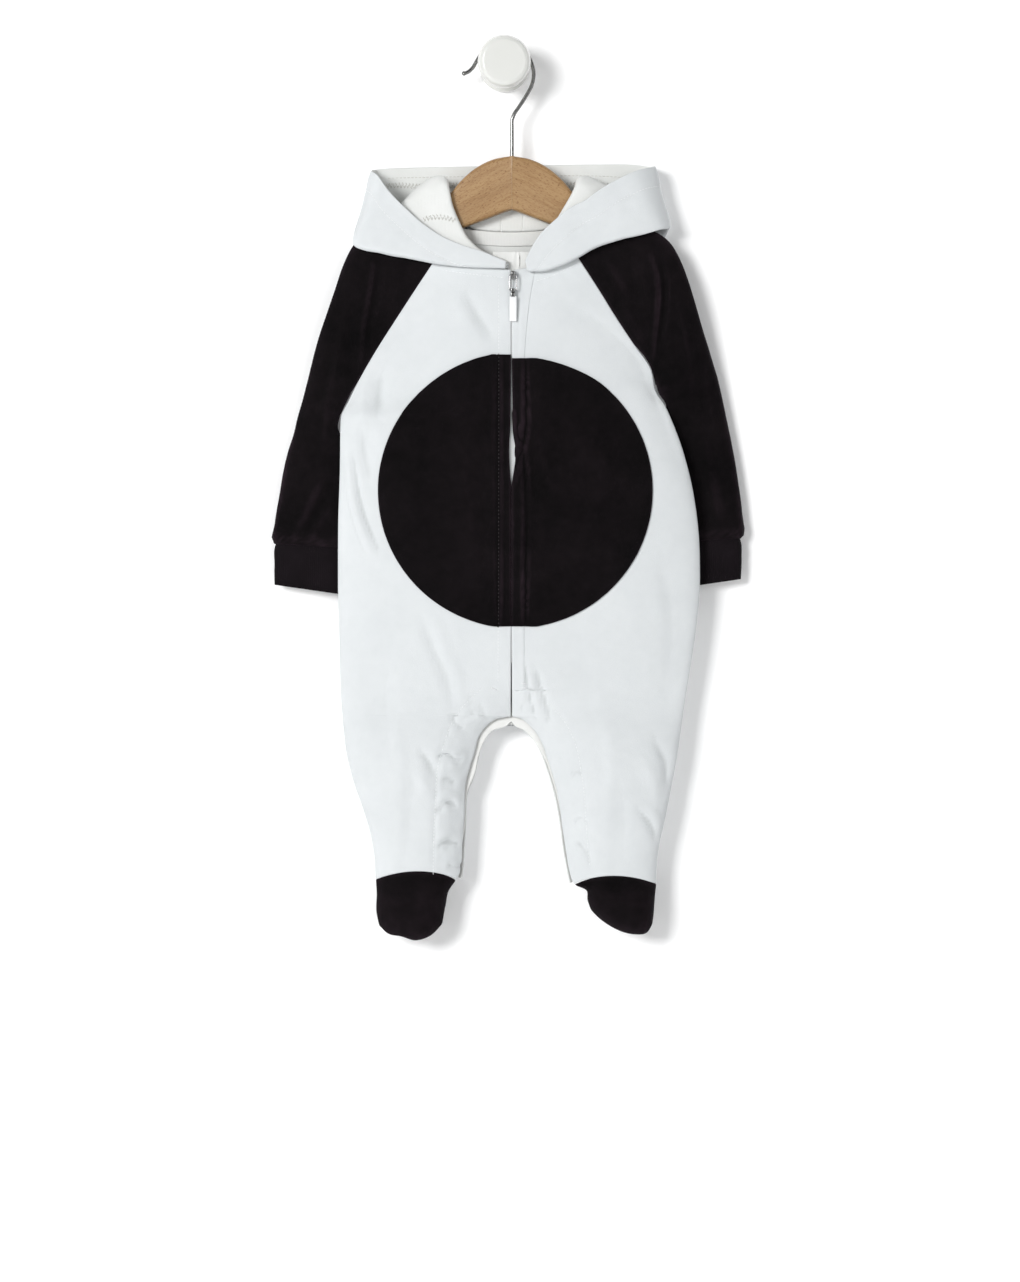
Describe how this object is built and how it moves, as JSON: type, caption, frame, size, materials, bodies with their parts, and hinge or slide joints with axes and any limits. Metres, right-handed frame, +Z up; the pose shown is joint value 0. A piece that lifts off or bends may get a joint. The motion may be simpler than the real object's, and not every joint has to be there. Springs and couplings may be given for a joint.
{
  "type": "panda onesie on a hanger",
  "caption": "Hooded all-in-one baby suit with feet, raglan sleeves, a round tummy patch and an offset front zip, hung on a wooden hanger from a round wall peg.",
  "frame": {"origin": "centre of the peg's flat back face, where it sits on the wall", "axes": "+Z up, -Y out of the wall to the front of the garment, +X to the right as seen from the front"},
  "size_m": [0.3656, 0.0468, 0.7001],
  "materials": {
    "white_velour": "short soft pile, cool off-white",
    "black_velour": "short soft pile, warm black",
    "black_rib": "fine rib knit, warm black",
    "zip_tape": "woven, light grey",
    "cream_jersey": "plain jersey, warm white",
    "beech": "satin oiled beech with fine short grain",
    "plated_wire": "bright plating",
    "white_lacquer": "glossy white lacquer",
    "zip_metal": "white-coated and bright metal",
    "white_tab": "smooth satin white"
  },
  "bodies": {
    "suit": {"front_left": "white_velour", "front_right": "white_velour", "zip_strip": "white_velour", "back": "white_velour", "hood_left": "white_velour", "hood_right": "white_velour", "hood_centre": "white_velour", "belly_left": "black_velour", "belly_right": "black_velour", "sleeve_left": "black_velour", "sleeve_right": "black_velour", "foot_left": "black_velour", "foot_right": "black_velour", "sole_left": "black_velour", "sole_right": "black_velour", "cuff_left": "black_rib", "cuff_right": "black_rib", "zip_tape_left": "zip_tape", "zip_tape_right": "zip_tape", "zip_guard": "cream_jersey", "neck_tape": "cream_jersey", "leg_band": "cream_jersey", "hanger_left": "beech", "hanger_right": "beech", "hook": "plated_wire", "peg": "white_lacquer", "zip_slider": "zip_metal"},
    "link": {"pull_link": "zip_metal"},
    "tab": {"pull_tab": "white_tab"}
  },
  "joints": [
    {"name": "link_swing", "type": "hinge", "parent": "suit", "child": "link", "pos_m": [0.0068, -0.0368, -0.1646], "axis": [-1, 0, 0], "range_deg": [0, 110]},
    {"name": "tab_swing", "type": "hinge", "parent": "link", "child": "tab", "pos_m": [0.0068, -0.0368, -0.177], "axis": [-1, 0, 0], "range_deg": [0, 90]}
  ]
}
